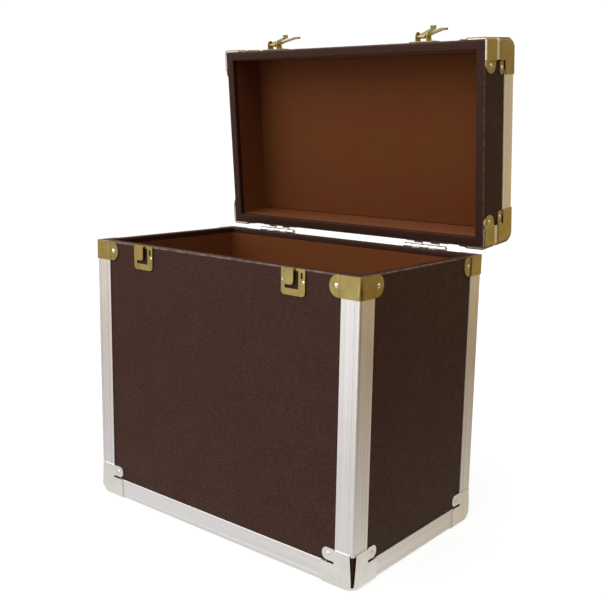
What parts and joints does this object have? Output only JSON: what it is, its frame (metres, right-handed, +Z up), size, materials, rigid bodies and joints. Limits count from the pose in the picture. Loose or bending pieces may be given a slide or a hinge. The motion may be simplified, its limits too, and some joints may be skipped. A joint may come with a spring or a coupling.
{
  "type": "record storage case",
  "caption": "Lidded carrying case for long-playing records: leatherette-covered boards, aluminium edging, plated corners, stop hinges, draw latches and a folding handle.",
  "frame": {"origin": "on the plane that the case stands on, under the middle of the body", "axes": "+X to the right seen from the latch side, +Y to the hinges at the rear, +Z up"},
  "size_m": [0.354, 0.286, 0.5157],
  "materials": {
    "leatherette": "dark brown fine-grained leatherette over board, satin",
    "lining": "red-brown napped lining",
    "aluminium_edging": "satin anodised extrusion, faint lengthwise lines",
    "nickel_plate": "bright nickel plate on pressed steel",
    "brass_tone_plate": "warm olive-gold plate on pressed steel, polished",
    "rivet_nickel": "domed plated rivet, polished",
    "hinge_steel": "nickel-plated steel, satin",
    "grip_plastic": "moulded black plastic, fine texture"
  },
  "bodies": {
    "case_body": {"body_front_board": "leatherette", "body_rear_board": "leatherette", "body_left_board": "leatherette", "body_right_board": "leatherette", "body_base_board": "leatherette", "body_lining": "lining", "body_edging_front_left": "aluminium_edging", "body_edging_front_right": "aluminium_edging", "body_edging_rear_left": "aluminium_edging", "body_edging_rear_right": "aluminium_edging", "body_corner_front_left": "nickel_plate", "body_corner_front_right": "nickel_plate", "body_corner_rear_left": "nickel_plate", "body_corner_rear_right": "nickel_plate", "body_base_edging_front": "aluminium_edging", "body_base_edging_rear": "aluminium_edging", "body_base_edging_left": "aluminium_edging", "body_base_edging_right": "aluminium_edging", "body_rim_caps": "brass_tone_plate", "body_rivets": "rivet_nickel", "keeper_left": "brass_tone_plate", "keeper_right": "brass_tone_plate", "hinge_body_leaf_left": "hinge_steel", "hinge_body_leaf_right": "hinge_steel", "hinge_pins": "hinge_steel"},
    "lid": {"lid_front_board": "leatherette", "lid_rear_board": "leatherette", "lid_left_board": "leatherette", "lid_right_board": "leatherette", "lid_top_board": "leatherette", "lid_lining": "lining", "lid_corner_edgings": "aluminium_edging", "lid_rim_caps": "brass_tone_plate", "lid_corner_front_left": "brass_tone_plate", "lid_corner_front_right": "brass_tone_plate", "lid_corner_rear_left": "brass_tone_plate", "lid_corner_rear_right": "brass_tone_plate", "lid_top_edging_front": "aluminium_edging", "lid_top_edging_rear": "aluminium_edging", "lid_top_edging_left": "aluminium_edging", "lid_top_edging_right": "aluminium_edging", "lid_rivets": "rivet_nickel", "hinge_lid_leaf_left": "hinge_steel", "hinge_lid_leaf_right": "hinge_steel", "latch_base_left": "brass_tone_plate", "latch_base_right": "brass_tone_plate", "latch_pivots": "brass_tone_plate", "handle_bracket_left": "nickel_plate", "handle_bracket_right": "nickel_plate", "handle_pins": "nickel_plate"},
    "handle": {"handle_grip": "grip_plastic"},
    "latch_lever_left": {"latch_lever_left": "brass_tone_plate", "latch_claw_pin_left": "brass_tone_plate"},
    "latch_claw_left": {"latch_claw_left": "brass_tone_plate"},
    "latch_lever_right": {"latch_lever_right": "brass_tone_plate", "latch_claw_pin_right": "brass_tone_plate"},
    "latch_claw_right": {"latch_claw_right": "brass_tone_plate"}
  },
  "joints": [
    {"name": "lid_hinge", "type": "hinge", "parent": "case_body", "child": "lid", "pos_m": [0, 0.1085, 0.286], "axis": [1, 0, 0], "range_deg": [0, 85]},
    {"name": "latch_lever_left", "type": "hinge", "parent": "lid", "child": "latch_lever_left", "pos_m": [-0.101, 0.09472, 0.50313], "axis": [1, 0, 0], "range_deg": [0, 167.5]},
    {"name": "latch_claw_left", "type": "hinge", "parent": "latch_lever_left", "child": "latch_claw_left", "pos_m": [-0.101, 0.09233, 0.50206], "axis": [1, 0, 0], "range_deg": [-4, 0]},
    {"name": "latch_lever_right", "type": "hinge", "parent": "lid", "child": "latch_lever_right", "pos_m": [0.101, 0.09472, 0.50313], "axis": [1, 0, 0], "range_deg": [0, 167.5]},
    {"name": "latch_claw_right", "type": "hinge", "parent": "latch_lever_right", "child": "latch_claw_right", "pos_m": [0.101, 0.09233, 0.50206], "axis": [1, 0, 0], "range_deg": [-4, 0]},
    {"name": "handle_hinge", "type": "hinge", "parent": "lid", "child": "handle", "pos_m": [0, 0.16788, 0.40011], "axis": [1, 0, 0], "range_deg": [0, 180]}
  ],
  "couplings": [
    {"joint": "latch_claw_left", "follows": "latch_lever_left", "ratio": -0.023881},
    {"joint": "latch_claw_right", "follows": "latch_lever_right", "ratio": -0.023881}
  ]
}
